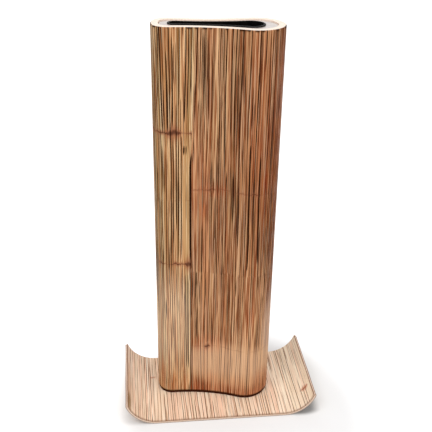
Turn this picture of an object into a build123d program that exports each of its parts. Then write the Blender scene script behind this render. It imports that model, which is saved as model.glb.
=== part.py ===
from build123d import *
from math import atan2, cos, degrees, hypot, radians, sin, sqrt
import os

# A tall bamboo vase on its own saucer tray, in millimetres.
# The origin is the middle of the tray's underside, X runs along the tray, Z points up.

# Saucer tray: a bent sheet of three plies, both ends turned up
tray_depth = 133.0
tray_flat_length = 167.0
tray_bend_radius = 40.0
tray_bend_angle = 72.0
tray_face_ply = 1.2
tray_core_ply = 1.6
tray_back_ply = 1.2
tray_seam_angle = 15.0

# Vase section: a round large end, a smaller end with a flatter nose, a waist between them
vase_height = 500.0
vase_length = 150.0
large_end_radius = 32.5
small_end_depth = 48.2
small_corner_radius = 19.2
small_nose_radius = 48.0
waist_radius = 209.0
seam_from_small_nose = 45.0

# Where the vase stands on the tray, and how far it is turned
vase_x = -5.1
vase_y = 4.6
vase_turn = -6.5

# Vase wall: bamboo sheets outside, a bent core inside
sheet_thickness = 3.0
core_thickness = 5.5
arris = 0.8
foot_pad_thickness = 2.5
foot_pad_inset = 1.5
base_board_thickness = 9.0

# Collar that closes the gap between the wall and the liner
collar_thickness = 3.0
ledge_width = 5.0
ledge_height = 12.0

# Mouth of the liner, measured to the outside of its lip
mouth_small_radius = 8.6
mouth_large_radius = 15.4
mouth_small_margin = 18.3
mouth_large_margin = 22.7
mouth_waist_radius = 273.0

# Liner: a thin vessel that lifts out, with a lip that lies level with the vase's rim
liner_lip_reach = 1.0
liner_lip_thickness = 1.2
liner_lip_round = 0.4
liner_clearance = 0.3
liner_wall = 1.2
liner_floor_gap = 0.8

# Worked out from the sizes above
tray_thickness = tray_back_ply + tray_core_ply + tray_face_ply
wall_thickness = sheet_thickness + core_thickness
wall_height = vase_height - foot_pad_thickness
nose_x = small_nose_radius - vase_length / 2
corner_y = small_end_depth / 2 - small_corner_radius
corner_x = nose_x - sqrt((small_nose_radius - small_corner_radius) ** 2 - corner_y**2)
large_end_x = vase_length / 2 - large_end_radius
mouth_small_x = mouth_small_margin + mouth_small_radius - vase_length / 2
mouth_large_x = vase_length / 2 - mouth_large_margin - mouth_large_radius
collar_top = vase_height - liner_lip_thickness
collar_bottom = collar_top - collar_thickness
liner_bottom = foot_pad_thickness + base_board_thickness + liner_floor_gap
liner_floor = liner_bottom + liner_wall

# The vase is drawn in its own plane: x along its long side, origin under its middle
vase_foot = Plane(Location((vase_x, vase_y, tray_thickness), (0, 0, vase_turn)))
wall_foot = vase_foot.offset(foot_pad_thickness)
long_middle = Plane(vase_foot.origin, x_dir=vase_foot.x_dir, z_dir=vase_foot.y_dir)
seam_point = vase_foot.from_local_coords(Vector(seam_from_small_nose - vase_length / 2, 0, 0))
seam_plane = Plane(seam_point, x_dir=vase_foot.y_dir, z_dir=vase_foot.x_dir)


# Rear half of a line that runs from the small end, in along a waist and round the large end
def waisted_half(small_x, small_y, small_radius, small_end_turn, large_x, large_radius, waist):
    along_x = large_x - small_x
    gap = hypot(along_x, small_y)
    small_reach = small_radius + waist
    large_reach = large_radius + waist
    along = (small_reach**2 - large_reach**2 + gap**2) / (2 * gap)
    across = sqrt(small_reach**2 - along**2)
    waist_x = small_x + (along * along_x + across * small_y) / gap
    waist_y = small_y + (across * along_x - along * small_y) / gap
    small_turn = degrees(atan2(waist_y - small_y, waist_x - small_x))
    large_turn = degrees(atan2(waist_y, waist_x - large_x))
    CenterArc((small_x, small_y), small_radius, small_turn, small_end_turn - small_turn)
    CenterArc((waist_x, waist_y), waist, 180 + small_turn, large_turn - small_turn)
    CenterArc((large_x, 0), large_radius, 0, large_turn)


# Closed line of the vase's outside, moved inwards by an inset
def wall_line(inset):
    corner_turn = degrees(atan2(corner_y, corner_x - nose_x))
    CenterArc((nose_x, 0), small_nose_radius - inset, corner_turn, 180 - corner_turn)
    waisted_half(
        corner_x,
        corner_y,
        small_corner_radius - inset,
        corner_turn,
        large_end_x,
        large_end_radius - inset,
        waist_radius + inset,
    )
    mirror(about=Plane.XZ)


# Closed line of the mouth, moved inwards by an inset
def mouth_line(inset):
    waisted_half(
        mouth_small_x,
        0,
        mouth_small_radius - inset,
        180,
        mouth_large_x,
        mouth_large_radius - inset,
        mouth_waist_radius + inset,
    )
    mirror(about=Plane.XZ)


# Point on a tray ply's bend, by its height over the underside and its angle from straight down
def bend_point(height, angle):
    radius = tray_bend_radius + tray_thickness - height
    turn = radians(angle)
    x = tray_flat_length / 2 + radius * sin(turn)
    return (x, tray_thickness + tray_bend_radius - radius * cos(turn))


# Ply that lies flat across the middle and runs up both bends to an angle
def middle_ply(bottom, thickness, angle):
    top = bottom + thickness
    flat_end = tray_flat_length / 2
    with BuildPart() as ply:
        with BuildSketch(Plane.XZ):
            with BuildLine():
                Line((0, bottom), (flat_end, bottom))
                ThreePointArc((flat_end, bottom), bend_point(bottom, angle / 2), bend_point(bottom, angle))
                Line(bend_point(bottom, angle), bend_point(top, angle))
                ThreePointArc(bend_point(top, angle), bend_point(top, angle / 2), (flat_end, top))
                Line((flat_end, top), (0, top))
                mirror(about=Plane.YZ)
            make_face()
        extrude(amount=tray_depth / 2, both=True)
    return ply.part


# Ply of the right turned-up end, from the seam to the tray's edge
def end_ply(bottom, thickness):
    top = bottom + thickness
    seam = tray_seam_angle
    middle = (tray_seam_angle + tray_bend_angle) / 2
    edge = tray_bend_angle
    with BuildPart() as ply:
        with BuildSketch(Plane.XZ):
            with BuildLine():
                ThreePointArc(bend_point(bottom, seam), bend_point(bottom, middle), bend_point(bottom, edge))
                Line(bend_point(bottom, edge), bend_point(top, edge))
                ThreePointArc(bend_point(top, edge), bend_point(top, middle), bend_point(top, seam))
                Line(bend_point(top, seam), bend_point(bottom, seam))
            make_face()
        extrude(amount=tray_depth / 2, both=True)
    return ply.part


# Bamboo skin of the vase all round, before it is parted at the seams
def skin_ring():
    with BuildPart() as ring:
        with BuildSketch(wall_foot):
            with BuildLine():
                wall_line(0)
            make_face()
        extrude(amount=wall_height)
        chamfer(ring.faces().sort_by(Axis.Z)[-1].edges(), length=arris)
        chamfer(ring.faces().sort_by(Axis.Z)[0].edges(), length=arris)
        with BuildSketch(wall_foot):
            with BuildLine():
                wall_line(sheet_thickness)
            make_face()
        extrude(amount=wall_height, mode=Mode.SUBTRACT)
    return ring.part


# Hoop that follows the wall from one inset to another
def hoop(outer_inset, inner_inset, bottom, height):
    with BuildPart() as ring:
        with BuildSketch(vase_foot.offset(bottom)):
            with BuildLine():
                wall_line(outer_inset)
            make_face()
            with BuildLine():
                wall_line(inner_inset)
            make_face(mode=Mode.SUBTRACT)
        extrude(amount=height)
    return ring.part


# Plate that fills the wall's line at an inset
def plate(inset, bottom, thickness):
    with BuildPart() as board:
        with BuildSketch(vase_foot.offset(bottom)):
            with BuildLine():
                wall_line(inset)
            make_face()
        extrude(amount=thickness)
    return board.part


def save(part, name):
    part.label = name
    export_step(part, f"parts/{name}.step")


os.makedirs("parts", exist_ok=True)

# Tray plies
save(middle_ply(tray_back_ply, tray_core_ply, tray_bend_angle), "tray_core")
for side, bottom, thickness in (
    ("back", 0, tray_back_ply),
    ("face", tray_back_ply + tray_core_ply, tray_face_ply),
):
    save(middle_ply(bottom, thickness, tray_seam_angle), f"tray_{side}_middle_sheet")
    right_end = end_ply(bottom, thickness)
    save(right_end, f"tray_{side}_right_sheet")
    save(right_end.mirror(Plane.YZ), f"tray_{side}_left_sheet")

# Foot pad, set in from the wall so that it shows as a dark line
save(plate(foot_pad_inset, 0, foot_pad_thickness), "foot_pad")

# Bamboo sheets: one round the small end, two that meet on the nose of the large end
with BuildPart() as small_end_sheet:
    add(skin_ring())
    split(bisect_by=seam_plane, keep=Keep.BOTTOM)
save(small_end_sheet.part, "small_end_sheet")

for name, kept in (("front_sheet", Keep.BOTTOM), ("rear_sheet", Keep.TOP)):
    with BuildPart() as long_sheet:
        add(skin_ring())
        split(bisect_by=seam_plane, keep=Keep.TOP)
        split(bisect_by=long_middle, keep=kept)
    save(long_sheet.part, name)

# Bent core, in a front and a rear half
for name, kept in (("front_core", Keep.BOTTOM), ("rear_core", Keep.TOP)):
    with BuildPart() as core_half:
        add(hoop(sheet_thickness, wall_thickness, foot_pad_thickness, wall_height))
        split(bisect_by=long_middle, keep=kept)
    save(core_half.part, name)

# Board that closes the wall at the bottom, and the ledge that carries the collar
save(plate(wall_thickness, foot_pad_thickness, base_board_thickness), "base_board")
save(
    hoop(wall_thickness, wall_thickness + ledge_width, collar_bottom - ledge_height, ledge_height),
    "collar_ledge",
)

# Collar round the mouth, one lip's thickness below the rim
with BuildPart() as rim_collar:
    with BuildSketch(vase_foot.offset(collar_bottom)):
        with BuildLine():
            wall_line(wall_thickness)
        make_face()
        with BuildLine():
            mouth_line(liner_lip_reach)
        make_face(mode=Mode.SUBTRACT)
    extrude(amount=collar_thickness)
save(rim_collar.part, "rim_collar")

# Liner: a vessel with a lip that hangs on the collar
with BuildPart() as liner:
    with BuildSketch(vase_foot.offset(liner_bottom)):
        with BuildLine():
            mouth_line(liner_lip_reach + liner_clearance)
        make_face()
    extrude(amount=collar_top - liner_bottom)
    with BuildSketch(vase_foot.offset(collar_top)):
        with BuildLine():
            mouth_line(0)
        make_face()
    extrude(amount=liner_lip_thickness)
    fillet(liner.faces().sort_by(Axis.Z)[-1].edges(), radius=liner_lip_round)
    with BuildSketch(vase_foot.offset(liner_floor)):
        with BuildLine():
            mouth_line(liner_lip_reach + liner_clearance + liner_wall)
        make_face()
    extrude(amount=vase_height - liner_floor, mode=Mode.SUBTRACT)
save(liner.part, "liner")
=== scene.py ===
import math
import random

import bpy
from mathutils import Matrix, Vector


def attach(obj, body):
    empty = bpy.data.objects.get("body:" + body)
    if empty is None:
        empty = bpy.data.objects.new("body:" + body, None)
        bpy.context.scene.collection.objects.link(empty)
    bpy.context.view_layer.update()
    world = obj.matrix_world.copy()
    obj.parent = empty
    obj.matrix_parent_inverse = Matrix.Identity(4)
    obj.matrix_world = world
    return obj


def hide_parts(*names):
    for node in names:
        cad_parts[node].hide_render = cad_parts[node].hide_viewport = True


# A tall bamboo vase on its saucer tray. Sizes are in millimetres, the scene is in metres
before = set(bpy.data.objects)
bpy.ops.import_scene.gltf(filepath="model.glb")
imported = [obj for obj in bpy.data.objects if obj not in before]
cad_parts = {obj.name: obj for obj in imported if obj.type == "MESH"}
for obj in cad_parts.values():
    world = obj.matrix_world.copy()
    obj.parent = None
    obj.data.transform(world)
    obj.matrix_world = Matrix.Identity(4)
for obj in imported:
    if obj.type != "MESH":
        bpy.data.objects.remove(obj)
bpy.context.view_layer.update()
mm = 0.001
print("frame loaded:", len(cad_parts), "nodes")


# The vase's section, drawn as in the CAD
vase = {
    "height": 500.0,
    "length": 150.0,
    "smallDepth": 48.2,
    "cornerRadius": 19.2,
    "noseRadius": 48.0,
    "waistRadius": 209.0,
    "largeRadius": 32.5,
    "seamFromNose": 45.0,
    "sheetThickness": 3.0,
    "coreThickness": 5.5,
    "arris": 0.8,
    "padThickness": 2.5,
    "boardThickness": 9.0,
    "place": (-5.1, 4.6, 4.0),
    "turn": math.radians(-6.5),
}
mouth = {
    "smallX": -48.1,
    "largeX": 36.9,
    "radii": (8.6, 15.4, 273.0),  # small end, large end, waist
}


# Arcs of half an outline, from the small end along the waist and round the large end
def waistedArcs(smallX, smallY, smallEndTurn, largeX, radii):
    smallRadius, largeRadius, waistRadius = radii
    alongX = largeX - smallX
    gap = math.hypot(alongX, smallY)
    smallReach = smallRadius + waistRadius
    largeReach = largeRadius + waistRadius
    along = (smallReach**2 - largeReach**2 + gap**2) / (2 * gap)
    across = math.sqrt(smallReach**2 - along**2)
    waistX = smallX + (along * alongX + across * smallY) / gap
    waistY = smallY + (across * alongX - along * smallY) / gap
    smallTurn = math.atan2(waistY - smallY, waistX - smallX)
    largeTurn = math.atan2(waistY, waistX - largeX)
    return [
        (smallX, smallY, smallRadius, smallEndTurn, smallTurn, 1),
        (waistX, waistY, waistRadius, math.pi + smallTurn, math.pi + largeTurn, -1),
        (largeX, 0, largeRadius, largeTurn, 0, 1),
    ]


def wallOutline():
    noseX = vase["noseRadius"] - vase["length"] / 2
    cornerY = vase["smallDepth"] / 2 - vase["cornerRadius"]
    cornerX = noseX - math.sqrt((vase["noseRadius"] - vase["cornerRadius"]) ** 2 - cornerY**2)
    cornerTurn = math.atan2(cornerY, cornerX - noseX)
    largeX = vase["length"] / 2 - vase["largeRadius"]
    radii = vase["cornerRadius"], vase["largeRadius"], vase["waistRadius"]
    nose = (noseX, 0, vase["noseRadius"], math.pi, cornerTurn, 1)
    return [nose, *waistedArcs(cornerX, cornerY, cornerTurn, largeX, radii)]


def halfLength(outline):
    return sum(radius * abs(end - start) for _, _, radius, start, end, _ in outline)


# Point on an outline, by its way from the small end's tip: along the front first, then the rear
def outlinePoint(outline, way, inset):
    half = halfLength(outline)
    way = way % (2 * half)
    side = -1 if way <= half else 1
    rest = min(way, 2 * half - way)
    for x, y, radius, start, end, bulge in outline:
        length = radius * abs(end - start)
        if rest <= length or bulge == 1 and end == 0:
            turn = start + (end - start) * min(rest / length, 1)
            reach = radius - bulge * inset
            return x + reach * math.cos(turn), side * (y + reach * math.sin(turn))
        rest -= length


def vasePoint(x, y, z):
    placeX, placeY, placeZ = vase["place"]
    cosTurn, sinTurn = math.cos(vase["turn"]), math.sin(vase["turn"])
    return (
        (placeX + cosTurn * x - sinTurn * y) * mm,
        (placeY + sinTurn * x + cosTurn * y) * mm,
        (placeZ + z) * mm,
    )


wallLine = wallOutline()
mouthLine = waistedArcs(mouth["smallX"], 0, math.pi, mouth["largeX"], mouth["radii"])
wallHalf = halfLength(wallLine)


def wallPoint(across, along, inset):
    return vasePoint(*outlinePoint(wallLine, across, inset), along)


# Way along the front where the seam crosses the outline
def findSeam():
    seamX = vase["seamFromNose"] - vase["length"] / 2
    low, high = 0, wallHalf
    for _ in range(40):  # halves the stretch each time
        middle = (low + high) / 2
        if outlinePoint(wallLine, middle, 0)[0] < seamX:
            low = middle
        else:
            high = middle
    return low


seamWay = findSeam()
print("vase outline", round(2 * wallHalf, 1), "mm round, seam at", round(seamWay, 1))


# The tray's bent line
tray = {
    "depth": 133.0,
    "flatLength": 167.0,
    "bendRadius": 40.0,
    "bendAngle": math.radians(72.0),
    "seamAngle": math.radians(15.0),
    "facePly": 1.2,
    "corePly": 1.6,
    "backPly": 1.2,
    "arris": 0.25,
}
trayThickness = tray["facePly"] + tray["corePly"] + tray["backPly"]
traySeamWay = tray["flatLength"] / 2 + tray["bendRadius"] * tray["seamAngle"]
trayEndWay = tray["flatLength"] / 2 + tray["bendRadius"] * tray["bendAngle"]


# Point of the tray, by its way along the top face from the middle, its depth and its height in the sheet
def trayPoint(across, along, height):
    bend = max(abs(across) - tray["flatLength"] / 2, 0) / tray["bendRadius"]
    radius = tray["bendRadius"] + trayThickness - height
    x = min(abs(across), tray["flatLength"] / 2) + radius * math.sin(bend)
    z = trayThickness + tray["bendRadius"] - radius * math.cos(bend)
    return (math.copysign(x, across) * mm, along * mm, z * mm)


def trayFacePoint(across, along, inset):
    return trayPoint(across, along, trayThickness - inset)


def trayBackPoint(across, along, inset):
    return trayPoint(across, along, inset)


# Colours of three numbers are written as they look, 0 to 255, and those of four as the shader takes them
def linearColour(seen):
    def linear(value):
        value = value / 255
        return value / 12.92 if value <= 0.04045 else ((value + 0.055) / 1.055) ** 2.4

    return (*map(linear, seen), 1)


# A socket takes a plain value, a colour or another node's output
def feed(tree, socket, value):
    if isinstance(value, bpy.types.NodeSocket):
        tree.links.new(value, socket)
    elif socket.type == "RGBA" and len(value) == 3:
        socket.default_value = linearColour(value)
    else:
        socket.default_value = value


nodeGrid = {"rows": 6, "width": 200, "height": -260, "left": -1500, "top": 600}


# Puts a node into a material or group, in columns and in the order of making
def addNode(tree, kind, inputs=None, **settings):
    column, row = divmod(len(tree.nodes), nodeGrid["rows"])
    node = tree.nodes.new(kind)
    node.location.x = nodeGrid["left"] + column * nodeGrid["width"]
    node.location.y = nodeGrid["top"] + row * nodeGrid["height"]
    for name, value in settings.items():
        setattr(node, name, value)
    for name, value in (inputs or {}).items():
        feed(tree, node.inputs[name], value)
    return node


def calculate(tree, operation, *values, clamp=False):
    inputs = dict(enumerate(values))
    return addNode(tree, "ShaderNodeMath", inputs, operation=operation, use_clamp=clamp).outputs[0]


def multiply(tree, first, second):
    return calculate(tree, "MULTIPLY", first, second)


def calculateVector(tree, operation, *values, output=0):
    inputs = dict(enumerate(values))
    return addNode(tree, "ShaderNodeVectorMath", inputs, operation=operation).outputs[output]


def separate(tree, vector):
    return addNode(tree, "ShaderNodeSeparateXYZ", {0: vector}).outputs


def blendColour(tree, factor, first, second, mode="MIX"):
    inputs = {0: factor, 6: first, 7: second}
    return addNode(tree, "ShaderNodeMix", inputs, data_type="RGBA", blend_type=mode).outputs[2]


def spread(tree, value, low, high, toLow=0.0, toHigh=1.0):
    inputs = {"Value": value, "From Min": low, "From Max": high, "To Min": toLow, "To Max": toHigh}
    return addNode(tree, "ShaderNodeMapRange", inputs, interpolation_type="SMOOTHSTEP").outputs["Result"]


# Noise of one scale, or stretched where the scale has three numbers
def noise(tree, vector, scale, detail=2.0, roughness=0.5):
    if isinstance(scale, tuple):
        mapping = addNode(tree, "ShaderNodeMapping", {"Vector": vector, "Scale": scale})
        vector, scale = mapping.outputs["Vector"], 1.0
    inputs = {"Vector": vector, "Scale": scale, "Detail": detail, "Roughness": roughness}
    return addNode(tree, "ShaderNodeTexNoise", inputs).outputs["Fac"]


# A group's inputs are numbers, or vectors where they have no value, and its outputs are masks
def newGroup(name, inputs, outputs):
    tree = bpy.data.node_groups.new(name, "ShaderNodeTree")
    for label, value in inputs.items():
        kind = "NodeSocketVector" if value is None else "NodeSocketFloat"
        socket = tree.interface.new_socket(label, in_out="INPUT", socket_type=kind)
        if value is not None:
            socket.default_value = value
    for label in outputs:
        tree.interface.new_socket(label, in_out="OUTPUT", socket_type="NodeSocketFloat")
    return tree, addNode(tree, "NodeGroupInput").outputs


def placeGroup(tree, group, inputs):
    return addNode(tree, "ShaderNodeGroup", inputs, node_tree=group).outputs


# Fibres drawn out along the culm: scale, detail and roughness of a noise, and the values it is spread between
fibres = {
    "layers": {
        "broad": ((260, 10, 1), 2, 0.5, 0.3, 0.7),
        "fine": ((900, 13, 1), 2, 0.55, 0.43, 0.57),
        "bundle": ((2600, 24, 1), 2, 0.6, 0.44, 0.6),
        "hair": ((900, 8, 1), 1, 0.4, 0.575, 0.605),
        "broken": ((340, 16, 1), 2, 0.5, 0.4, 0.52),
        "pale": ((1050, 9, 1), 1, 0.4, 0.58, 0.64),
    },
    "fineShare": 0.7,
    "bundleShare": 0.3,
    "fineRelief": 0.35,
}


def makeFibreGroup():
    outputs = ("Broad", "Fine", "Hair", "Pale", "Height")
    tree, given = newGroup("bambooFibre", {"Fibre": None, "Shift": 0.0}, outputs)
    place = calculateVector(tree, "ADD", given["Fibre"], given["Shift"])
    layers = {
        name: spread(tree, noise(tree, place, scale, detail, roughness), low, high)
        for name, (scale, detail, roughness, low, high) in fibres["layers"].items()
    }
    bundle = multiply(tree, layers["bundle"], fibres["bundleShare"])
    fine = calculate(tree, "MULTIPLY_ADD", layers["fine"], fibres["fineShare"], bundle)
    hair = multiply(tree, layers["hair"], layers["broken"])
    height = calculate(tree, "SUBTRACT", multiply(tree, fine, fibres["fineRelief"]), hair)
    masks = (layers["broad"], fine, hair, layers["pale"], height)
    addNode(tree, "NodeGroupOutput", dict(zip(outputs, masks)))
    return tree


# Culm joint: a thin wavy line with a warm halo, as thick as the joint is strong
culmJoint = {
    "waver": 0.0044,
    "waverNoise": ((900, 40, 1), 2, 0.6),
    "leastStrength": 0.05,
    "gain": 1.3,
    "Line": (0.0003, 0.0022),
    "Halo": (0.001, 0.0075),
}


def makeJointGroup():
    names = ("Line", "Halo")
    tree, given = newGroup("culmJoint", {"Distance": 1.0, "Strength": 0.0, "Fibre": None}, names)
    waver = noise(tree, given["Fibre"], *culmJoint["waverNoise"])
    waver = multiply(tree, calculate(tree, "SUBTRACT", waver, 0.5), culmJoint["waver"])
    away = calculate(tree, "ABSOLUTE", calculate(tree, "ADD", given["Distance"], waver))
    strength = calculate(tree, "MAXIMUM", given["Strength"], culmJoint["leastStrength"])
    near = calculate(tree, "DIVIDE", away, strength)
    amount = calculate(tree, "MULTIPLY", given["Strength"], culmJoint["gain"], clamp=True)
    masks = {name: multiply(tree, spread(tree, near, *culmJoint[name], 1.0, 0.0), amount) for name in names}
    addNode(tree, "NodeGroupOutput", masks)
    return tree


# Soft patches and small specks that break up a gloss, written as the fibres are
speckles = {"Patch": (60.0, 3, 0.55, 0.35, 0.65), "Speck": (1800.0, 1, 0.5, 0.68, 0.76)}


def makeSpeckleGroup():
    scales = {name + " Scale": values[0] for name, values in speckles.items()}
    tree, given = newGroup("speckle", {"Place": None, **scales}, speckles)
    masks = {}
    for name, (_, detail, roughness, low, high) in speckles.items():
        specks = noise(tree, given["Place"], given[name + " Scale"], detail, roughness)
        masks[name] = spread(tree, specks, low, high)
    addNode(tree, "NodeGroupOutput", masks)
    return tree


fibreGroup = makeFibreGroup()
jointGroup = makeJointGroup()
speckleGroup = makeSpeckleGroup()
print("shader groups made")


def newMaterial(name):
    material = bpy.data.materials.new(name)
    material.use_nodes = True
    tree = material.node_tree
    tree.nodes["Principled BSDF"].location = (1100, 0)
    tree.nodes["Material Output"].location = (1400, 0)
    return material, tree


def readAttribute(tree, name, output):
    return addNode(tree, "ShaderNodeAttribute", attribute_name=name).outputs[output]


def objectPlace(tree):
    return addNode(tree, "ShaderNodeTexCoord").outputs["Object"]


def feedShader(tree, inputs):
    shader = tree.nodes["Principled BSDF"]
    for name, value in inputs.items():
        feed(tree, shader.inputs[name], value)
    return shader


# A finish gives the inputs of the Principled BSDF and the height of its bump
def finishMaterial(name, finish, look):
    material, tree = newMaterial(name)
    inputs, height = finish(tree, look)
    bump = addNode(tree, "ShaderNodeBump", {"Height": height, "Distance": look["relief"], "Strength": 1.0})
    feedShader(tree, {**inputs, "Normal": bump.outputs["Normal"]})
    return material


# Toned strips, fibres, hair cracks, resin in the cracks, culm joints and lacquer
def crushedBamboo(tree, look):
    place = readAttribute(tree, "fibre", "Vector")
    jointDistance = separate(tree, place)[2]
    tone, hue, jointHere = separate(tree, readAttribute(tree, "strip", "Vector"))
    red, olive, pale = separate(tree, readAttribute(tree, "stain", "Vector"))
    # The crack mark holds resin in the cracks, dark dashes along the upper arris and painted shade along the
    # foot
    resin = spread(tree, readAttribute(tree, "crack", "Fac"), *look["resinMarks"])
    # Painted sheen: pale patches near the vase's low edges stand in for the lacquer's reflection
    haze = readAttribute(tree, "haze", "Fac")
    grain = placeGroup(tree, fibreGroup, {"Fibre": place, "Shift": look["shift"]})
    joint = placeGroup(tree, jointGroup, {"Distance": jointDistance, "Strength": jointHere, "Fibre": place})
    drift = multiply(tree, calculate(tree, "SUBTRACT", grain["Broad"], 0.5), look["drift"])
    shade = blendColour(tree, calculate(tree, "ADD", tone, drift, clamp=True), look["dark"], look["light"])
    streaks = spread(tree, grain["Fine"], 0.0, 1.0, 1.0, look["streakShare"])
    clean = spread(tree, pale, *look["cleanMarks"], 1.0, look["cleanShare"])
    notFine = calculate(tree, "SUBTRACT", 1.0, grain["Fine"])
    layers = (
        ("warm", multiply(tree, spread(tree, hue, look["middleHue"], 1.0), look["warmth"])),
        ("cool", multiply(tree, spread(tree, hue, look["middleHue"], 0.0), look["coolness"])),
        ("red", multiply(tree, red, streaks)),
        ("olive", olive),
        ("pale", pale),
        ("fineShade", multiply(tree, multiply(tree, notFine, look["fine"]), clean)),
        ("paleShade", multiply(tree, grain["Pale"], look["paleFibre"])),
        ("hairShade", multiply(tree, multiply(tree, grain["Hair"], clean), look["hair"])),
        ("jointHalo", multiply(tree, joint["Halo"], look["haloShare"])),
        ("jointLine", multiply(tree, joint["Line"], look["lineShare"])),
        ("resin", resin),
        ("haze", haze),
    )
    for name, mask in layers:
        shade = blendColour(tree, mask, shade, look[name], "MULTIPLY" if name == "fineShade" else "MIX")
    patch = placeGroup(tree, speckleGroup, {"Place": place})["Patch"]
    lacquer = calculate(tree, "MULTIPLY_ADD", patch, look["lacquerPatches"], look["lacquer"])
    inputs = {
        "Base Color": shade,
        "Roughness": calculate(tree, "MULTIPLY_ADD", patch, look["roughnessPatches"], look["roughness"]),
        "Coat Weight": multiply(tree, lacquer, calculate(tree, "SUBTRACT", 1.0, resin)),
        "Specular IOR Level": look["specular"],
        "Coat Roughness": look["lacquerRoughness"],
        "Coat IOR": look["lacquerIor"],
    }
    return inputs, grain["Height"]


# Cut edge of a sheet or a bent ply: pale wood with short dark pores
def cutEdge(tree, look):
    place = objectPlace(tree)
    grain = noise(tree, place, look["grain"], *look["detail"])
    speckle = placeGroup(tree, speckleGroup, {"Place": place, "Patch Scale": look["patchScale"]})
    shade = blendColour(tree, spread(tree, grain, *look["marks"]), look["light"], look["dark"])
    shade = blendColour(tree, multiply(tree, speckle["Speck"], look["pores"]), shade, look["pore"])
    shade = blendColour(tree, multiply(tree, speckle["Patch"], look["patches"]), shade, look["dark"])
    inputs = {
        "Base Color": shade,
        "Roughness": spread(tree, grain, *look["roughness"]),
        "Coat Weight": look["lacquer"],
        "Coat Roughness": look["lacquerRoughness"],
    }
    return inputs, grain


# Moulded plastic: one colour with faint patches, dust specks and a soft orange-peel gloss
def mouldedPlastic(tree, look):
    place = objectPlace(tree)
    scales = {"Patch Scale": look["patchScale"], "Speck Scale": look["dustScale"]}
    speckle = placeGroup(tree, speckleGroup, {"Place": place, **scales})
    streak = spread(tree, noise(tree, place, look["streaks"], *look["detail"]), *look["marks"])
    shade = blendColour(tree, streak, look["base"], look["second"])
    shade = blendColour(tree, multiply(tree, speckle["Speck"], look["dustShare"]), shade, look["dust"])
    patches = calculate(tree, "MULTIPLY_ADD", speckle["Patch"], look["roughnessPatches"], look["roughness"])
    inputs = {
        "Base Color": shade,
        "Roughness": patches,
        "Coat Weight": look["gloss"],
        "Coat Roughness": look["glossRoughness"],
        "Specular IOR Level": look["specular"],
        "IOR": look["ior"],
    }
    return inputs, noise(tree, place, look["peelScale"])


# Board or ledge: straight grain in flat layers with dark glue lines
def plyBoard(tree, look):
    place = objectPlace(tree)
    grain = noise(tree, place, look["grain"], *look["detail"])
    layers = {"Vector": place, **look["layers"]}
    plies = addNode(tree, "ShaderNodeTexWave", layers, wave_type="BANDS", bands_direction="Z").outputs["Fac"]
    shade = blendColour(tree, spread(tree, grain, *look["marks"]), look["light"], look["dark"])
    glue = multiply(tree, spread(tree, plies, *look["glueMarks"]), look["glueShare"])
    inputs = {
        "Base Color": blendColour(tree, glue, shade, look["glue"]),
        "Roughness": spread(tree, grain, *look["roughness"]),
    }
    return inputs, grain


def footRubber(tree, look):
    cell = noise(tree, objectPlace(tree), look["cellScale"], *look["detail"])
    inputs = {
        "Base Color": blendColour(tree, spread(tree, cell, *look["marks"]), look["dark"], look["light"]),
        "Roughness": spread(tree, cell, *look["roughness"]),
        "Specular IOR Level": look["specular"],
    }
    return inputs, cell


# Marks are the two values that a mask is spread between. A roughness of four numbers begins with its own
smallEndLook = {
    "shift": 0.0,
    "middleHue": 0.45,
    "dark": (156, 116, 68),
    "light": (246, 212, 164),
    "drift": 0.28,
    "warm": (212, 152, 102),
    "warmth": 0.6,
    "cool": (158, 130, 92),
    "coolness": 0.5,
    "red": (224, 142, 82),
    "streakShare": 0.5,
    "olive": (146, 122, 76),
    "pale": (196, 152, 102),
    "cleanMarks": (0.3, 0.6),
    "cleanShare": 0.4,  # of the fibres is seen on the pale strip
    # Colour of the painted sheen
    "haze": (240, 212, 188),
    "fine": 0.8,
    "fineShade": (162, 108, 58),
    "paleFibre": 0.45,
    "paleShade": (252, 226, 184),
    "hair": 0.85,
    "hairShade": (54, 26, 6),
    "jointHalo": (148, 88, 60),
    "haloShare": 0.72,
    "jointLine": (70, 30, 16),
    "lineShare": 0.8,
    # Resin in the cracks; the same colour is the painted shade along the foot
    "resin": (42, 18, 2),
    "resinMarks": (0.08, 0.5),
    "roughness": 0.42,
    "roughnessPatches": 0.12,
    "lacquer": 0.13,
    "lacquerPatches": -0.1,
    "lacquerRoughness": 0.14,
    "lacquerIor": 1.5,
    "specular": 0.03,
    "relief": 0.00012,
}
frontLook = {
    **smallEndLook,
    "shift": 0.37,
    "drift": 0.12,
    "dark": (148, 92, 50),
    "light": (230, 182, 136),
    "warm": (194, 120, 72),
    "warmth": 0.4,
    "cool": (160, 114, 72),
    "coolness": 0.22,
    "paleFibre": 0.36,
    "paleShade": (234, 194, 156),
    "fine": 0.95,
    "fineShade": (148, 94, 48),
    "red": (206, 114, 66),
    "olive": (132, 102, 60),
    "pale": (220, 174, 132),
}
rearLook = {**frontLook, "shift": 0.71, "dark": (150, 98, 58), "light": (230, 180, 132)}
trayLook = {
    **smallEndLook,
    "shift": 1.13,
    "dark": (249, 212, 184),
    "light": (255, 240, 216),
    "drift": 0.3,
    "warm": (252, 204, 174),
    "warmth": 0.26,
    "cool": (232, 202, 162),
    "coolness": 0.24,
    "pale": (250, 226, 194),
    "paleFibre": 0.4,
    "paleShade": (255, 244, 226),
    "fine": 0.42,
    "fineShade": (206, 166, 134),
    "hair": 0.6,
    "hairShade": (150, 100, 62),
    "resin": (108, 56, 14),
    "jointHalo": (206, 132, 96),
    "jointLine": (150, 84, 58),
    "lacquer": 0.25,
}
rimEdgeLook = {
    "light": (254, 237, 222),
    "dark": (242, 219, 200),
    "pore": (170, 124, 84),
    "pores": 0.45,
    "grain": (900, 900, 60),
    "detail": (3, 0.6),
    "marks": (0.35, 0.65),
    "patchScale": 130,
    "patches": 0.25,
    "roughness": (0.2, 0.8, 0.45, 0.65),
    "lacquer": 0.35,
    "lacquerRoughness": 0.2,
    "relief": 0.0001,
}
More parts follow.
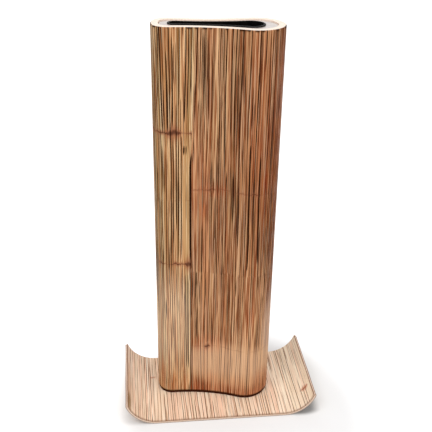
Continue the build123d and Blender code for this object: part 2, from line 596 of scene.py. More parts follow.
trayEdgeLook = {
    **rimEdgeLook,
    "light": (172, 134, 104),
    "dark": (138, 102, 76),
    "pore": (70, 44, 26),
    "pores": 0.6,
    "grain": (900, 60, 900),
    "lacquer": 0.2,
}
# The back ply's cut edge is greyer than the face ply's: painted shade along the tray's lower edge
trayBackEdgePaintedShadeLook = {**trayEdgeLook, "light": (178, 158, 142), "dark": (152, 132, 116)}
trayCoreLook = {
    **trayEdgeLook,
    "light": (228, 202, 182),
    "dark": (206, 178, 156),
    "pore": (160, 116, 78),
    "pores": 0.5,
    "grain": (700, 60, 900),
}
boardLook = {
    "light": (222, 192, 150),
    "dark": (188, 150, 106),
    "glue": (130, 92, 60),
    "glueShare": 0.5,
    "glueMarks": (0.86, 0.98),
    "grain": (16, 420, 420),
    "detail": (5, 0.62),
    "marks": (0.3, 0.7),
    "layers": {"Scale": 140, "Distortion": 0.6, "Detail": 2},
    "roughness": (0.2, 0.8, 0.5, 0.75),
    "relief": 0.00015,
}
collarLook = {
    "base": (194, 182, 174),
    "second": (184, 172, 166),
    "dust": (232, 226, 222),
    "dustShare": 0.5,
    "dustScale": 2600,
    "patchScale": 40,
    "streaks": (60, 60, 60),
    "detail": (3, 0.6),
    "marks": (0.35, 0.65),
    "roughness": 0.22,
    "roughnessPatches": 0.08,
    "ior": 1.5,
    "gloss": 0.6,
    "glossRoughness": 0.05,
    "specular": 0.4,
    "peelScale": 420,
    "relief": 0.00006,
}
linerLook = {
    **collarLook,
    "base": (9, 8, 8),
    "second": (18, 16, 14),
    "dust": (60, 54, 48),
    "patchScale": 30,
    "streaks": (140, 140, 6),
    "roughness": 0.2,
    "roughnessPatches": 0.18,
    "ior": 1.2,
    "gloss": 0.03,
    "glossRoughness": 0.06,
    "specular": 0.06,
}
padLook = {
    "dark": (48, 20, 10),
    "light": (78, 34, 18),
    "cellScale": 900,
    "detail": (4, 0.7),
    "marks": (0.35, 0.65),
    "roughness": (0.3, 0.7, 0.7, 0.95),
    "specular": 0.08,
    "relief": 0.0002,
}

smallEndBamboo = finishMaterial("bambooSmallEnd", crushedBamboo, smallEndLook)
frontBamboo = finishMaterial("bambooFront", crushedBamboo, frontLook)
rearBamboo = finishMaterial("bambooRear", crushedBamboo, rearLook)
trayBamboo = finishMaterial("bambooTray", crushedBamboo, trayLook)
rimEdge = finishMaterial("rimCutEdge", cutEdge, rimEdgeLook)
trayEdge = finishMaterial("traySheetEdge", cutEdge, trayEdgeLook)
trayBackEdgePaintedShade = finishMaterial("trayBackEdgePaintedShade", cutEdge, trayBackEdgePaintedShadeLook)
trayCoreWood = finishMaterial("trayCoreEdge", cutEdge, trayCoreLook)
boardWood = finishMaterial("baseBoardPly", plyBoard, boardLook)
collarPlastic = finishMaterial("collarGloss", mouldedPlastic, collarLook)
linerPlastic = finishMaterial("linerBlack", mouldedPlastic, linerLook)
padRubber = finishMaterial("footPadRubber", footRubber, padLook)
print("materials made")


# Crushed bamboo sheets
crush = {
    "depth": 0.42,  # of a crack
    "lip": 0.05,  # strips stand this much over their edges
    "hairHalf": 0.12,  # half width of a crack where it has closed
    "floorShare": 0.45,
    "taper": 15.0,
    "lead": 60,  # a crack's first run starts up to this much below the sheet
    "overlap": 4,  # runs of one crack may share this much
    "faint": (0.05, 0.35),
    "mainFaint": 0.2,
    "endPower": 0.7,  # how a crack narrows at its ends
    "searchShare": 0.25,
    "turnChance": 0.75,
    "rowStep": 5.0,
    "rowRoom": 0.6,  # of a step that the rows of a culm joint keep free
    "arrisRow": 3,  # the last row of the face is this many arrises down
    "arrisReach": 1.5,
    "jointRows": (-1.4, -0.5, 0.5, 1.4),
    "jointReach": 28,  # a culm joint bends the rows this far away
    "jointHalf": 1.5,
    "jointDepth": 0.12,
    "knotReach": 1.3,
    "jag": 0.8,  # a culm joint steps this much from strip to strip
    "jointFade": (0.6, 0.4, 4.3, 9.1),
    "straight": 8,  # fibres run straight this near a seam
    "wobble": ((0.55, 71.0, 23.0, 0.0), (0.28, 33.0, 12.0, 1.7)),
    "patchFall": (1.6, 1.1),
    "dashWaves": ((0.4, 1.3, 0.0), (0.35, 3.1, 1.3), (0.35, 9.0, 0.4)),
    "dashMiddle": 0.45,
    "innerDash": 0.4,
    "smoothAngle": math.radians(32),
    "mergeGap": 0.002,
}


def smooth(value):
    value = max(0.0, min(1.0, value))
    return value * value * (3 - 2 * value)


# Sideways wander of the fibres: neighbours move together, so cracks never cross
def wander(across, along):
    return sum(
        size * math.sin(along / alongStep + across / acrossStep + start)
        for size, alongStep, acrossStep, start in crush["wobble"]
    )


def waves(rows, across):
    return sum(size * math.sin(across / step + start) for size, step, start in rows)


def crackAt(crack, along):
    strength, half = crack["faint"], crush["hairHalf"]
    for low, high, width in crack["runs"]:
        inside = min(along - low, high - along) / min(crush["taper"], (high - low) / 2)
        strength = max(strength, smooth(2 * inside))
        half = max(half, max(0.0, min(1.0, inside)) ** crush["endPower"] * width / 2)
    return strength, half


def widest(runs):
    return max([run[2] for run in runs], default=crush["hairHalf"] * 2)


# Runs of one crack along the culm: open for a while, closed for a while, finer towards the foot
def planRuns(look, low, high, dice, taken):
    runs = []
    openFrom, openTo = look["opens"]
    share, overlap = look["lowerShare"], crush["overlap"]
    along = low - dice.uniform(0, crush["lead"])
    while along < high:
        length = dice.uniform(*look["runLengths"])
        rise = smooth((along + length / 2 - openFrom) / (openTo - openFrom))
        width = dice.uniform(*look["splitWidths"]) * (share + (1 - share) * rise)
        if all(along + length < run[0] + overlap or along > run[1] - overlap for run in taken):
            runs.append((along, along + length, width))
        along += length + dice.uniform(*look["runGaps"])
    return runs


# Cracks of a sheet: the ones listed, then seeded ones in the room between them
def planCracks(look, start, end, low, high):
    dice = random.Random(look["seed"])
    clearFrom, clearTo = look["clear"]
    leastStep, shares = look["stripWidths"][0], look["turnShares"]
    cracks = []
    for across, runs in look["mainCracks"]:
        more = [] if clearFrom < across < clearTo else planRuns(look, low, high, dice, runs)
        cracks.append({"across": across, "runs": runs + more, "faint": crush["mainFaint"] if more else 0.0})
    across = start + leastStep
    while across < end - leastStep:
        runs = planRuns(look, low, high, dice, [])
        faint = dice.uniform(*crush["faint"])
        gaps = [abs(across - crack["across"]) - widest(crack["runs"]) / 2 for crack in cracks]
        room = 2 * min([gap - look["leastStrip"] for gap in gaps], default=1.0)
        if room > look["leastSplit"] and not clearFrom < across < clearTo:
            share = shares[len(cracks) % len(shares)]
            runs = [(fromAlong, toAlong, min(width * share, room)) for fromAlong, toAlong, width in runs]
            cracks.append({"across": across, "runs": runs, "faint": faint})
            across += dice.uniform(*look["stripWidths"])
        else:
            across += leastStep * crush["searchShare"]
    cracks.sort(key=lambda crack: crack["across"])
    return cracks, dice


# Tone, hue and slip of each strip between cracks: light and dark mostly take turns
def planStrips(look, count, dice):
    strips, side = [], 1
    for _ in range(count):
        side = -side if dice.random() < crush["turnChance"] else side
        tone = look["middleTone"] + side * dice.uniform(*look["toneReach"])
        strips.append((tone, dice.random(), dice.uniform(-1, 1)))
    return strips


# Columns of the sheet's grid: four for each crack, one or two on each strip, and half a crack at each seam.
# A strip's two edges are set lighter or darker than its middle: painted highlight and painted shade along the
# grooves
def planColumns(look, start, end, cracks, dice):
    floor = crush["floorShare"]
    columns = []

    def addColumn(across, offset, deep, crack, strip):
        columns.append({"across": across, "offset": offset, "deep": deep, "crack": crack, "strip": strip})

    strips = planStrips(look, len(cracks) + 1, dice)
    for part, deep in ((0, 1), (floor, 1), (1, 0)):
        addColumn(start, part, deep, look["startSeam"], strips[0])
    edges = [start] + [crack["across"] for crack in cracks] + [end]
    for index, edge in enumerate(edges[1:]):
        here = strips[index]
        width = edge - edges[index]
        middles = 1 if width < look["wideStrip"] else 2
        for part in range(middles):
            addColumn(edges[index] + width * (part + 1) / (middles + 1), 0, -1, None, here)
        if index < len(cracks):
            following = strips[index + 1]
            # Painted highlight and painted shade on the strip's edges
            leftEdge = (here[0] - look["paintedEdgeShade"], *here[1:])
            rightEdge = (following[0] + look["paintedEdgeHighlight"], *following[1:])
            between = tuple(a + (b - a) / 2 for a, b in zip(here, following))
            sides = ((-1, 0, leftEdge), (-floor, 1, between), (floor, 1, between), (1, 0, rightEdge))
            for part, deep, strip in sides:
                addColumn(edge, part, deep, cracks[index], strip)
    for part, deep in ((-1, 0), (-floor, 1), (0, 1)):
        addColumn(end, part, deep, look["endSeam"], strips[-1])
    return columns


# Rows of the sheet's grid, from one cut edge over the face to the other and back inside. Each is its way
# along the culm, its inset and whether it belongs to the face
def planRows(layer, joints):
    low, high, thickness, arris = (layer[name] for name in ("low", "high", "thickness", "arris"))
    count = max(2, round((high - low) / crush["rowStep"]))
    alongs = [low + (high - low) * step / count for step in range(1, count)]
    alongs.append(high - crush["arrisRow"] * arris)
    for joint in joints:
        alongs = [along for along in alongs if abs(along - joint) > crush["rowStep"] * crush["rowRoom"]]
        alongs += [joint + away for away in crush["jointRows"]]
    return [
        (low, thickness, False),
        (low, arris, True),
        (low + arris, 0, True),
        *((along, 0, True) for along in sorted(alongs)),
        (high - arris, 0, True),
        (high, arris, True),
        (high, thickness, False),
        (low, thickness, False),
    ]


# How much of a soft oval patch is seen at a place
def patchAt(patch, across, along):
    middleAcross, middleAlong, halfAcross, halfAlong, amount = patch
    away = math.hypot((across - middleAcross) / halfAcross, (along - middleAlong) / halfAlong)
    middle, fall = crush["patchFall"]
    return amount * smooth(middle - fall * away)


# Paler and darker areas of a sheet: partly its own tone, partly painted shade and painted light
def toneAndPaintedLightAt(look, across, along):
    return sum(patchAt(patch, across, along) for patch in look["tonesAndPaintedLight"])


# How much of one kind of stain, or of the painted sheen, is seen at a place
def stainAndPaintedSheenAt(look, kind, across, along):
    return max([patchAt(patch, across, along) for patch in look["stainsAndPaintedSheen"].get(kind, [])], default=0.0)


# Strength of a culm joint across the sheet: it fades and comes back, and thickens at its knots
def jointStrength(joint, across):
    _, strength, start, knots = joint
    middle, swing, fastStep, slowStep = crush["jointFade"]
    swing *= math.sin(across / fastStep + start) * math.sin(across / slowStep + 2 * start)
    faded = strength * (middle + swing)
    for knotAcross, half, extra in knots:
        faded += extra * smooth(crush["knotReach"] - abs(across - knotAcross) / half)
    return faded


# Dark mark on a point of the face: resin in its crack, the dashes along the upper arris, or painted shade in
# the line along the foot
def resinAndPaintedShadeMark(look, layer, across, along, inset, mark):
    top, reach = layer["high"], crush["arrisReach"] * layer["arris"]
    if along > top - look["dashReach"]:
        share = look["topDash"] * (1 if inset > 0 or along > top - reach else crush["innerDash"])
        mark = max(mark, share * smooth(crush["dashMiddle"] + waves(crush["dashWaves"], across)))
    # Painted shade: the lower arris is darkened into a dark line along the foot
    if along < layer["low"] + reach:
        mark = max(mark, look["paintedFootShade"])
    return mark


# A grid under its piece's name, to be laid on a surface
def newGrid(pieceName, columnCount, rowCount, *materials):
    bpy.ops.object.select_all(action="DESELECT")
    bpy.ops.mesh.primitive_grid_add(x_subdivisions=columnCount, y_subdivisions=rowCount, size=1)
    piece = bpy.context.object
    piece.name = piece.data.name = pieceName
    for material in materials:
        piece.data.materials.append(material)
    return piece


# Lays a grid on a surface as one closed crushed sheet
def makeCrushedSheet(pieceName, look, start, end, layer, faceMaterial):
    low, high = layer["low"], layer["high"]
    cracks, dice = planCracks(look, start, end, low, high)
    columns = planColumns(look, start, end, cracks, dice)
    rows = planRows(layer, [joint[0] for joint in look["joints"]])
    rowCount, columnCount = len(rows) - 1, len(columns) - 1
    piece = newGrid(pieceName, columnCount, rowCount, faceMaterial, layer["edge"])
    mesh = piece.data
    for face in mesh.polygons:
        row = int((face.center.y + 0.5) * rowCount)
        face.material_index = 0 if rows[row][2] and rows[row + 1][2] else 1
        face.use_smooth = True
    places = []
    marks = {"fibre": [], "strip": [], "stain": [], "haze": [], "crack": []}
    for vertex in mesh.vertices:
        column = columns[round((vertex.co.x + 0.5) * columnCount)]
        rowAlong, inset, onFace = rows[round((vertex.co.y + 0.5) * rowCount)]
        tone, hue, slip = column["strip"]
        wave = waves(look["jointWaves"], column["across"]) + slip * crush["jag"]
        nearest = min(look["joints"], key=lambda joint: abs(joint[0] - rowAlong))
        share = smooth(1 - abs(rowAlong - nearest[0]) / crush["jointReach"])
        along = min(max(rowAlong + wave * share, low), high) if onFace and inset == 0 else rowAlong
        strength, half = crackAt(column["crack"], along) if column["crack"] else (0.0, 0.0)
        across = column["across"] + column["offset"] * half
        if start < column["across"] < end:
            fromStart, toEnd = column["across"] - start, end - column["across"]
            held = smooth(fromStart / crush["straight"]) * smooth(toEnd / crush["straight"])
            across += wander(column["across"], along) * held
        across += look["lean"](column["across"], along)
        jointHere = jointStrength(nearest, across)
        depth, mark = 0.0, strength if column["deep"] == 1 else 0.0
        if onFace:
            if column["deep"] == 1:
                depth = crush["lip"] + crush["depth"] * strength
            elif column["deep"] == 0:
                depth = crush["lip"]
            groove = smooth(crush["jointHalf"] - abs(along - nearest[0] - wave)) * min(jointHere, 1)
            depth += crush["jointDepth"] * groove
            mark = resinAndPaintedShadeMark(look, layer, across, along, inset, mark)
        places += layer["surface"](across, along, inset + depth)
        step = look["jointStep"] * slip * nearest[1]
        tone += (step if along > nearest[0] + wave else -step) + toneAndPaintedLightAt(look, across, along)
        marks["fibre"] += (across * mm, along * mm, (along - nearest[0] - wave) * mm)
        marks["strip"] += (tone, hue, jointHere)
        marks["stain"] += [stainAndPaintedSheenAt(look, kind, across, along) for kind in ("red", "olive", "pale")]
        marks["haze"].append(stainAndPaintedSheenAt(look, "haze", across, along))
        marks["crack"].append(mark)
    mesh.vertices.foreach_set("co", places)
    for name, values in marks.items():
        kind, field = ("FLOAT", "value") if name in ("haze", "crack") else ("FLOAT_VECTOR", "vector")
        mesh.attributes.new(name, kind, "POINT").data.foreach_set(field, values)
    closeSheet(piece)
    return piece


# Merges the first and last rows, fills open ends with the face's finish and turns the faces outwards
def closeSheet(piece):
    bpy.ops.object.mode_set(mode="EDIT")
    bpy.ops.mesh.select_all(action="SELECT")
    bpy.ops.mesh.remove_doubles(threshold=crush["mergeGap"] * mm)
    bpy.ops.mesh.select_all(action="SELECT")
    bpy.ops.mesh.fill_holes(sides=0)
    bpy.ops.mesh.select_all(action="SELECT")
    bpy.ops.mesh.normals_make_consistent(inside=False)
    bpy.ops.object.mode_set(mode="OBJECT")
    for face in piece.data.polygons:
        if len(face.vertices) > 4:
            face.material_index = 0
    bpy.ops.object.shade_smooth_by_angle(angle=crush["smoothAngle"])


def finishPiece(piece, body, slotName, *nodes):
    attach(piece, body)
    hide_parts(*nodes)
    print("piece", piece.name, len(piece.data.polygons), "faces")


# Fibres lean outwards towards the rim, most beside the front seam
def leanTable(points, low, high):
    def lean(across, along):
        rise = max(0.0, (along - low) / (high - low))
        for (fromAcross, fromShift), (toAcross, toShift) in zip(points, points[1:]):
            if fromAcross <= across <= toAcross:
                part = (across - fromAcross) / (toAcross - fromAcross)
                return rise * (fromShift + (toShift - fromShift) * part)
        return 0.0

    return lean


# Places that are given by their way from a seam
def besideWay(way, *places):
    return [(way + across, *rest) for across, *rest in places]


def besideSeam(*places):
    return besideWay(seamWay, *places)


# A crack or seam has runs: from, to and width. A joint has its height, strength, start and knots. A fade, a
# stain or a patch of painted sheen has its middle and its half size, across and along, and an amount
noSeam = {"faint": 0.35, "runs": []}
frontSeam = {"faint": 0.45, "runs": [(196, 356, 5.6), (120, 196, 1.4), (-20, 110, 0.8)]}
leanFrom = 340
leans = [(-seamWay, 0), (seamWay - 30, -4), (seamWay, 6), (seamWay + 45, 0), (2 * wallHalf, 0)]
smallEndSheet = {
    "seed": 3,
    "stripWidths": (3.2, 3.7),
    "leastStrip": 1.0,
    "leastSplit": 0.5,
    "splitWidths": (1.2, 1.9),
    "turnShares": (1.0,),  # splits take turns in width
    "opens": (60, 300),
    "wideStrip": 4.5,
    # Painted highlight and painted shade on the two edges of each strip
    "paintedEdgeHighlight": 0.4,
    "paintedEdgeShade": -0.12,
    "clear": (seamWay - 11.0, seamWay),
    "runLengths": (90, 260),
    "runGaps": (-40, 12),
    "lowerShare": 0.36,
    "topDash": 0.45,
    "dashReach": 2.6,
    "middleTone": 0.47,
    "toneReach": (0.1, 0.5),
    "tonesAndPaintedLight": besideSeam(
        (-40, 440, 26, 150, -0.2), (-14, 440, 24, 90, -0.14), (-42, 260, 16, 130, -0.14),
        (-54, 400, 12, 150, -0.3), (-24, 50, 60, 110, 0.46),
    ),
    # Painted shade along the foot, in the resin colour
    "paintedFootShade": 0.6,
    "jointStep": 0.12,
    "startSeam": noSeam,
    "endSeam": {"faint": 0.4, "runs": [(212, 352, 3.0), (-20, 190, 1.0)]},
    "lean": leanTable(leans, leanFrom, vase["height"]),
    "joints": [(206, 0.9, 0.4, besideSeam((-3, 3, 1.8))), (380, 0.8, 2.1, besideSeam((-20, 8, 1.9)))],
    "jointWaves": [(0.7, 6.0, 0.0), (0.9, 15.0, 1.0)],
    "mainCracks": besideSeam(
        (-40.3, [(283, 335, 1.2), (380, 500, 0.8)]), (-36.0, [(415, 486, 0.9)]),
        (-31.2, [(300, 344, 1.4), (118, 156, 2.2)]), (-25.4, [(378, 478, 1.8)]),
        (-20.1, [(386, 490, 1.7), (232, 376, 1.2)]), (-16.6, [(250, 418, 1.2)]),
        (-13.9, [(410, 510, 1.4)]), (-11.1, [(210, 378, 1.5), (40, 120, 0.6)]),
        (-8.2, [(-20, 104, 0.8), (390, 510, 1.6), (352, 365, 3.0)]),
        (-5.7, [(40, 192, 1.2), (396, 510, 1.3), (353, 364, 2.0)]),
        (-2.9, [(40, 192, 1.6), (420, 510, 1.1)]),
    ),
    "stainsAndPaintedSheen": {
        "red": besideSeam(
            (-20, 381, 14, 6, 0.15), (-12, 0, 60, 20, 0.45), (-38, 30, 5, 24, 0.7),
            (-22, 16, 6, 18, 0.7), (-6, 14, 5, 20, 0.6),
        ),
        "olive": besideSeam((-34, 270, 16, 100, 0.2), (-5, 120, 3, 70, 0.5)),
        "pale": besideSeam((-5.2, 290, 5.6, 86, 0.8)),
        # Painted sheen near the low edges
        "haze": besideSeam((-30, 116, 40, 66, 0.16), (-44, 116, 12, 80, 0.16)),
    },
}
frontSheet = {
    **smallEndSheet,
    "seed": 8,
    "stripWidths": (2.1, 3.0),
    "splitWidths": (1.0, 1.5),
    "turnShares": (1.0, 0.36, 0.8, 0.42),
    "leastStrip": 1.5,
    "clear": (0, 0),
    "lowerShare": 0.42,
    "runLengths": (140, 400),
    "runGaps": (-30, 14),
    "middleTone": 0.6,
    "toneReach": (0.02, 0.14),
    "tonesAndPaintedLight": besideSeam(
        # Painted shade: the strongest fade, by the large end's edge, darkens the side turned from the lamps
        (92, 390, 40, 150, -0.3), (85, 240, 36, 120, -0.15), (112, 330, 16, 260, -0.66),
        (22, 440, 30, 90, 0.34), (92, 120, 40, 80, 0.16), (95, 322, 12, 14, -0.2),
        (36, 210, 50, 130, -0.16),
    ),
    "startSeam": frontSeam,
    "endSeam": noSeam,
    "joints": [(79, 0.28, 1.3, besideSeam((22, 4, 1.0))), (308, 0.55, 4.0, [])],
    "jointWaves": [(0.6, 7.0, 0.6), (1.6, 17.0, 2.4)],
    "mainCracks": besideSeam(
        (2.4, [(396, 510, 1.1)]), (6.6, [(436, 510, 0.8), (130, 186, 1.0)]),
        (11.9, [(398, 500, 1.1), (140, 184, 0.9)]), (18.4, [(333, 478, 0.9)]),
        (23.0, [(380, 472, 0.8)]), (27.3, [(302, 328, 1.4)]), (39.7, [(-20, 302, 0.7)]),
        (41.9, [(308, 336, 1.2)]), (46.6, [(-20, 190, 0.7), (300, 345, 1.0)]),
        (50.8, [(264, 336, 2.0)]), (57.7, [(160, 190, 1.7)]),
        (61.8, [(415, 460, 1.2), (331, 378, 1.2)]), (70.8, [(200, 372, 2.3), (385, 440, 1.2)]),
        (83.2, [(210, 360, 2.1)]), (88.5, [(380, 500, 1.0)]),
    ),
    "stainsAndPaintedSheen": {
        "red": besideSeam(
            (8, 330, 11, 70, 0.35), (24, 309, 20, 9, 0.6), (15, 283, 5, 12, 0.6), (78, 133, 5, 14, 0.5),
            (92, 380, 34, 110, 0.3), (95, 322, 12, 13, 0.6), (24, 84, 20, 14, 0.7),
            (40, 0, 110, 24, 0.95), (30, 20, 9, 18, 0.7), (62, 16, 12, 20, 0.7), (100, 22, 16, 22, 0.8),
        ),
        "olive": besideSeam((50, 296, 7, 42, 0.4), (30, 420, 34, 90, 0.22)),
        "pale": besideSeam((56, 52, 80, 44, 0.55), (12, 440, 26, 70, 0.25), (22, 82, 2.5, 3, 0.8)),
        # Painted sheen near the low edges
        "haze": besideSeam((50, 56, 80, 22, 0.1), (112, 100, 14, 56, 0.26)),
    },
}
rearSheet = {
    **frontSheet,
    "seed": 21,
    "startSeam": noSeam,
    "endSeam": noSeam,
    "tonesAndPaintedLight": besideWay(wallHalf, (40, 420, 50, 100, -0.2)),
    "joints": [(132, 0.7, 0.2, []), (348, 0.6, 3.0, besideWay(wallHalf, (40, 6, 0.8)))],
    "jointWaves": [(0.6, 7.0, 1.6), (1.2, 19.0, 0.4)],
    "mainCracks": besideWay(
        wallHalf,
        (30, [(140, 330, 2.1)]), (58, [(60, 210, 1.8), (300, 380, 1.2)]), (92, [(250, 420, 2.0)]),
    ),
    "stainsAndPaintedSheen": {
        "red": besideWay(wallHalf, (40, 350, 30, 12, 0.5), (80, 200, 12, 60, 0.4)),
        "olive": besideWay(wallHalf, (20, 240, 14, 70, 0.4)),
        "pale": besideWay(wallHalf, (70, 60, 50, 60, 0.35)),
    },
}
wallLayer = {
    "low": vase["padThickness"],
    "high": vase["height"],
    "thickness": vase["sheetThickness"],
    "arris": vase["arris"],
    "surface": wallPoint,
    "edge": rimEdge,
}
for nodeName, look, start, end, material in (
    ("small_end_sheet", smallEndSheet, -seamWay, seamWay, smallEndBamboo),
    ("front_sheet", frontSheet, seamWay, wallHalf, frontBamboo),
    ("rear_sheet", rearSheet, wallHalf, 2 * wallHalf - seamWay, rearBamboo),
):
    piece = makeCrushedSheet("bamboo_" + nodeName, look, start, end, wallLayer, material)
    finishPiece(piece, "vase", "vase_bamboo", nodeName)

traySeam = {"faint": 0.5, "runs": [(-70, -20, 0.7), (-10, 70, 0.9)]}
traySheet = {
    "leastStrip": 0.8,
    "leastSplit": 0.4,
    "splitWidths": (0.4, 1.0),
    "turnShares": (1.0,),
    "opens": (0, 1),
    "wideStrip": 4.5,
    # Painted highlight and painted shade on the two edges of each strip
    "paintedEdgeHighlight": 0.2,
    "paintedEdgeShade": 0.15,
    "clear": (0, 0),
    "runLengths": (50, 180),
    "runGaps": (4, 24),
    "lowerShare": 1.0,
    "topDash": 0.5,
    "dashReach": 0.4,
    "middleTone": 0.5,
    "toneReach": (0.04, 0.22),
    # Painted light: the right end is lifted where the vase's shadow falls on it
    "tonesAndPaintedLight": [(traySeamWay + 24, 0, 36, 140, 0.5)],
    # Painted shade along the sheet's low cut edge
    "paintedFootShade": 0.3,
    "jointStep": 0.0,
    "startSeam": traySeam,
    "endSeam": traySeam,
    "lean": lambda across, along: 0.0,
    "jointWaves": [(0.5, 7.0, 0.6)],
    "mainCracks": [],
    "stainsAndPaintedSheen": {},
}
trayLeft = {
    **traySheet,
    "seed": 51,
    "stripWidths": (2.6, 5.2),
    "joints": [(400, 0.0, 0.0, [])],
    "stainsAndPaintedSheen": {"olive": [(-131, -52, 5, 16, 0.8)]},
}
trayMiddle = {**traySheet, "seed": 62, "stripWidths": (2.6, 6.4), "joints": [(22, 0.0, 0.0, [(-88, 5, 0.5)])]}
trayRight = {**traySheet, "seed": 73, "stripWidths": (3.4, 8.0), "joints": [(-37, 0.0, 0.0, [(121, 8, 0.9)])]}
for side, surface, thickness, edge in (
    ("tray_face_", trayFacePoint, tray["facePly"], trayEdge),
    ("tray_back_", trayBackPoint, tray["backPly"], trayBackEdgePaintedShade),
):
    layer = {"low": -tray["depth"] / 2, "high": tray["depth"] / 2, "arris": tray["arris"]}
    layer.update({"surface": surface, "thickness": thickness, "edge": edge})
    for partName, look, start, end in (
        ("left_sheet", trayLeft, -trayEndWay, -traySeamWay),
        ("middle_sheet", trayMiddle, -traySeamWay, traySeamWay),
        ("right_sheet", trayRight, traySeamWay, trayEndWay),
    ):
        piece = makeCrushedSheet("bamboo_" + side + partName, look, start, end, layer, trayBamboo)
        finishPiece(piece, "tray", "tray_bamboo", side + partName)
print("crushed sheets made")


# A hoop is a grid laid round the vase and closed both ways
def makeHoop(pieceName, rings, material):
    rowCount = len(rings) - 1
    piece = newGrid(pieceName, hoop["columns"], rowCount, material)
    places = []
    for vertex in piece.data.vertices:
        places += rings[round((vertex.co.y + 0.5) * rowCount)](vertex.co.x + 0.5)
    piece.data.vertices.foreach_set("co", places)
    closeSheet(piece)
    return piece


# A ring gives its point at a share of the way round
def ring(outline, inset, height):
    around = 2 * halfLength(outline)
    return lambda share: vasePoint(*outlinePoint(outline, share * around, inset), height)


def betweenRings(first, second, part):
    return lambda share: tuple(a + (b - a) * part for a, b in zip(first(share), second(share)))


# Rings round a quarter of an edge, which begins upright or level
def roundedRings(outline, inset, height, inwards, upwards, upright):
    rings = []
    for step in range(hoop["roundSteps"] + 1):
        turn = math.radians(90 * step / hoop["roundSteps"])
        shares = 1 - math.cos(turn), 1 - math.sin(turn)
        across, up = shares if upright else reversed(shares)
        rings.append(ring(outline, inset + inwards * across, height + upwards * up))
    return rings


hoop = {"columns": 260, "roundSteps": 4}
collar = {"thickness": 3.0, "gap": 0.45, "round": 0.8, "topRings": (0.33, 0.66)}
liner = {
    "lipReach": 1.0,
    "lipThickness": 1.2,
    "lipRound": 0.4,
    "underLip": 6,
    "clearance": 0.3,
    "wall": 1.2,
    "floorGap": 0.8,
    "footRound": 1.5,
    "ringHeights": (120, 240, 360),
}
wallThickness = vase["sheetThickness"] + vase["coreThickness"]
collarTop = vase["height"] - liner["lipThickness"]
collarBottom = collarTop - collar["thickness"]


def makeCollar():
    outer = wallThickness + collar["gap"]
    rings = [ring(wallLine, outer, collarBottom)]
    rings += roundedRings(wallLine, outer, collarTop, collar["round"], -collar["round"], True)
    innerTop = ring(mouthLine, liner["lipReach"], collarTop)
    innerBottom = ring(mouthLine, liner["lipReach"], collarBottom)
    rings += [betweenRings(rings[-1], innerTop, part) for part in collar["topRings"]]
    rings += [innerTop, innerBottom, rings[0]]
    return makeHoop("rim_collar_gloss", rings, collarPlastic)


def makeLiner():
    bottom = vase["padThickness"] + vase["boardThickness"] + liner["floorGap"]
    outside = liner["lipReach"] + liner["clearance"]
    inside = outside + liner["wall"]
    edge, foot, top = liner["lipRound"], liner["footRound"], vase["height"]
    heights = [*liner["ringHeights"], collarTop - liner["underLip"]]
    rings = roundedRings(mouthLine, outside, bottom, foot, foot, False)
    rings += [ring(mouthLine, outside, height) for height in [*heights, collarTop]]
    rings += [ring(mouthLine, edge / 2, collarTop), ring(mouthLine, 0, collarTop + edge / 2)]
    rings += roundedRings(mouthLine, 0, top, edge, -edge, True)
    rings += roundedRings(mouthLine, inside, top, -edge, -edge, False)
    rings += [ring(mouthLine, inside, height) for height in reversed(heights)]
    rings += roundedRings(mouthLine, inside, bottom + liner["wall"], foot, foot, True)
    return makeHoop("liner_vessel", rings, linerPlastic)


finishPiece(makeCollar(), "vase", "collar", "rim_collar")
finishPiece(makeLiner(), "liner", "liner", "liner")
print("collar and liner made")


# The nodes that keep their CAD meshes get their finish here
for nodeName, material in (
    ("tray_core", trayCoreWood),
    ("front_core", rimEdge),
    ("rear_core", rimEdge),
    ("base_board", boardWood),
    ("collar_ledge", boardWood),
    ("foot_pad", padRubber),
):
    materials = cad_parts[nodeName].data.materials
    materials.clear()
    materials.append(material)
print("nodes dressed")


# Floor, light and camera
studio = {
    "floorSize": 14.0,
    "floorColours": ((0.86, 0.86, 0.86, 1), (0.84, 0.84, 0.845, 1)),
    "floorPatches": 6,
    "floorRoughness": 0.9,
    "floorSpecular": 0.1,
    "floorLift": (0.0, 0.5),
    "shadowMiddle": (0.03, -0.06, 0.0),
    "floorLiftReach": (0.13, 0.22),
    "contactMiddle": (0.11, 0.058, 0.0),
    "contactShape": (1, 2.2, 1),
    "contactReach": (0.01, 0.027),
    "contact": 0.8,
    "contactLeft": 0.35,
    "contactSides": (-0.02, 0.02),
    "contactShade": (0.2, 0.2, 0.205, 1),
    "white": (1, 1, 1, 1),
    "ambient": 0.8,
    "aim": (0, 0, 0.22),
}
# Place, size and power
lamps = {"key_lamp": ((-1.0, -1.3, 2.6), 2.0, 33.0), "fill_lamp": ((1.5, -1.5, 1.8), 1.8, 12.0)}


# One where the camera sees a surface, straight or mirrored, and none where the surface only lights
def seenRays(tree):
    rays = addNode(tree, "ShaderNodeLightPath").outputs
    return calculate(tree, "MAXIMUM", rays["Is Camera Ray"], rays["Is Glossy Ray"])


# The floor's shade close to the tray, deeper at its right end
def contactShadow(tree, place):
    mirrored = calculateVector(tree, "ABSOLUTE", place)
    beyond = calculateVector(tree, "SUBTRACT", mirrored, studio["contactMiddle"])
    outside = calculateVector(tree, "MAXIMUM", beyond, (-1, 0, 0))
    narrowed = calculateVector(tree, "MULTIPLY", outside, studio["contactShape"])
    gap = calculateVector(tree, "LENGTH", narrowed, output="Value")
    contact = spread(tree, gap, *studio["contactReach"], studio["contact"], 0.0)
    side = spread(tree, separate(tree, place)[0], *studio["contactSides"], studio["contactLeft"], 1.0)
    return multiply(tree, contact, side)


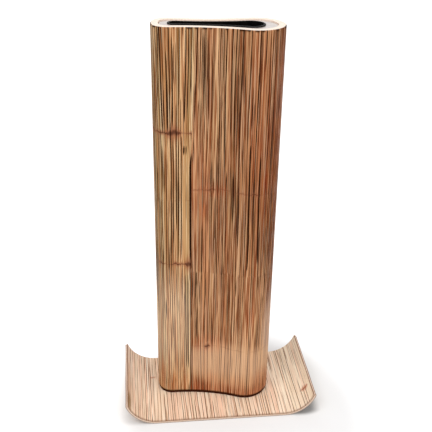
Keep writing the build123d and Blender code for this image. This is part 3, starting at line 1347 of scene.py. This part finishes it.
def makeFloor():
    bpy.ops.object.select_all(action="DESELECT")
    bpy.ops.mesh.primitive_plane_add(size=studio["floorSize"], location=(0, 0, 0))
    floor = bpy.context.object
    floor.name = "studio_floor"
    material, tree = newMaterial("studioFloor")
    place = objectPlace(tree)
    shade = blendColour(tree, noise(tree, place, studio["floorPatches"]), *studio["floorColours"])
    inputs = {
        "Base Color": blendColour(tree, contactShadow(tree, place), shade, studio["contactShade"]),
        "Roughness": studio["floorRoughness"],
        "Specular IOR Level": studio["floorSpecular"],
    }
    shader = feedShader(tree, inputs)
    # Painted light: a glow for camera and mirror rays, growing away from the tray, washes the shadows there
    # out to white
    away = calculateVector(tree, "DISTANCE", place, studio["shadowMiddle"], output="Value")
    lift = multiply(tree, seenRays(tree), spread(tree, away, *studio["floorLiftReach"], *studio["floorLift"]))
    glow = addNode(tree, "ShaderNodeEmission", {"Color": studio["white"], "Strength": lift})
    together = addNode(tree, "ShaderNodeAddShader", {0: shader.outputs[0], 1: glow.outputs[0]})
    feed(tree, tree.nodes["Material Output"].inputs["Surface"], together.outputs[0])
    floor.data.materials.append(material)


# White where it is seen, and a plain level where it lights
def makeWorld():
    world = bpy.data.worlds.new("studioWorld")
    bpy.context.scene.world = world
    world.use_nodes = True
    tree = world.node_tree
    background = tree.nodes["Background"].inputs
    levels = {"Value": seenRays(tree), "To Min": studio["ambient"], "To Max": 1.0}
    feed(tree, background["Color"], studio["white"])
    feed(tree, background["Strength"], addNode(tree, "ShaderNodeMapRange", levels).outputs["Result"])


def makeLamp(name, place, size, power):
    bpy.ops.object.light_add(type="AREA", location=place)
    lamp = bpy.context.object
    lamp.name = name
    lamp.data.shape = "DISK"
    lamp.data.size = size
    lamp.data.energy = power
    lamp.rotation_mode = "QUATERNION"
    lamp.rotation_quaternion = (Vector(studio["aim"]) - Vector(place)).to_track_quat("-Z", "Y")


view = {
    "place": (-0.0999, -0.8170, 0.6912),
    "yaw": math.radians(-6.691),
    "pitch": math.radians(27.243),
    "roll": math.radians(0.999),
    "lens": 62.4,
    "sensor": 36.0,
    "shift": (-0.5 / 432, 0.5 / 432),  # half a pixel of the photo
}


def makeCamera():
    bpy.ops.object.camera_add()
    camera = bpy.context.object
    camera.name = "photo_camera"
    camera.data.lens = view["lens"]
    camera.data.sensor_width = view["sensor"]
    camera.data.shift_x, camera.data.shift_y = view["shift"]
    turned = Matrix.Rotation(view["yaw"], 4, "Z") @ Matrix.Rotation(math.radians(90) - view["pitch"], 4, "X")
    camera.matrix_world = Matrix.Translation(view["place"]) @ turned @ Matrix.Rotation(view["roll"], 4, "Z")
    bpy.context.scene.camera = camera


makeFloor()
makeWorld()
for name, values in lamps.items():
    makeLamp(name, *values)
makeCamera()
bpy.context.scene.view_settings.view_transform = "Standard"
print("studio made")
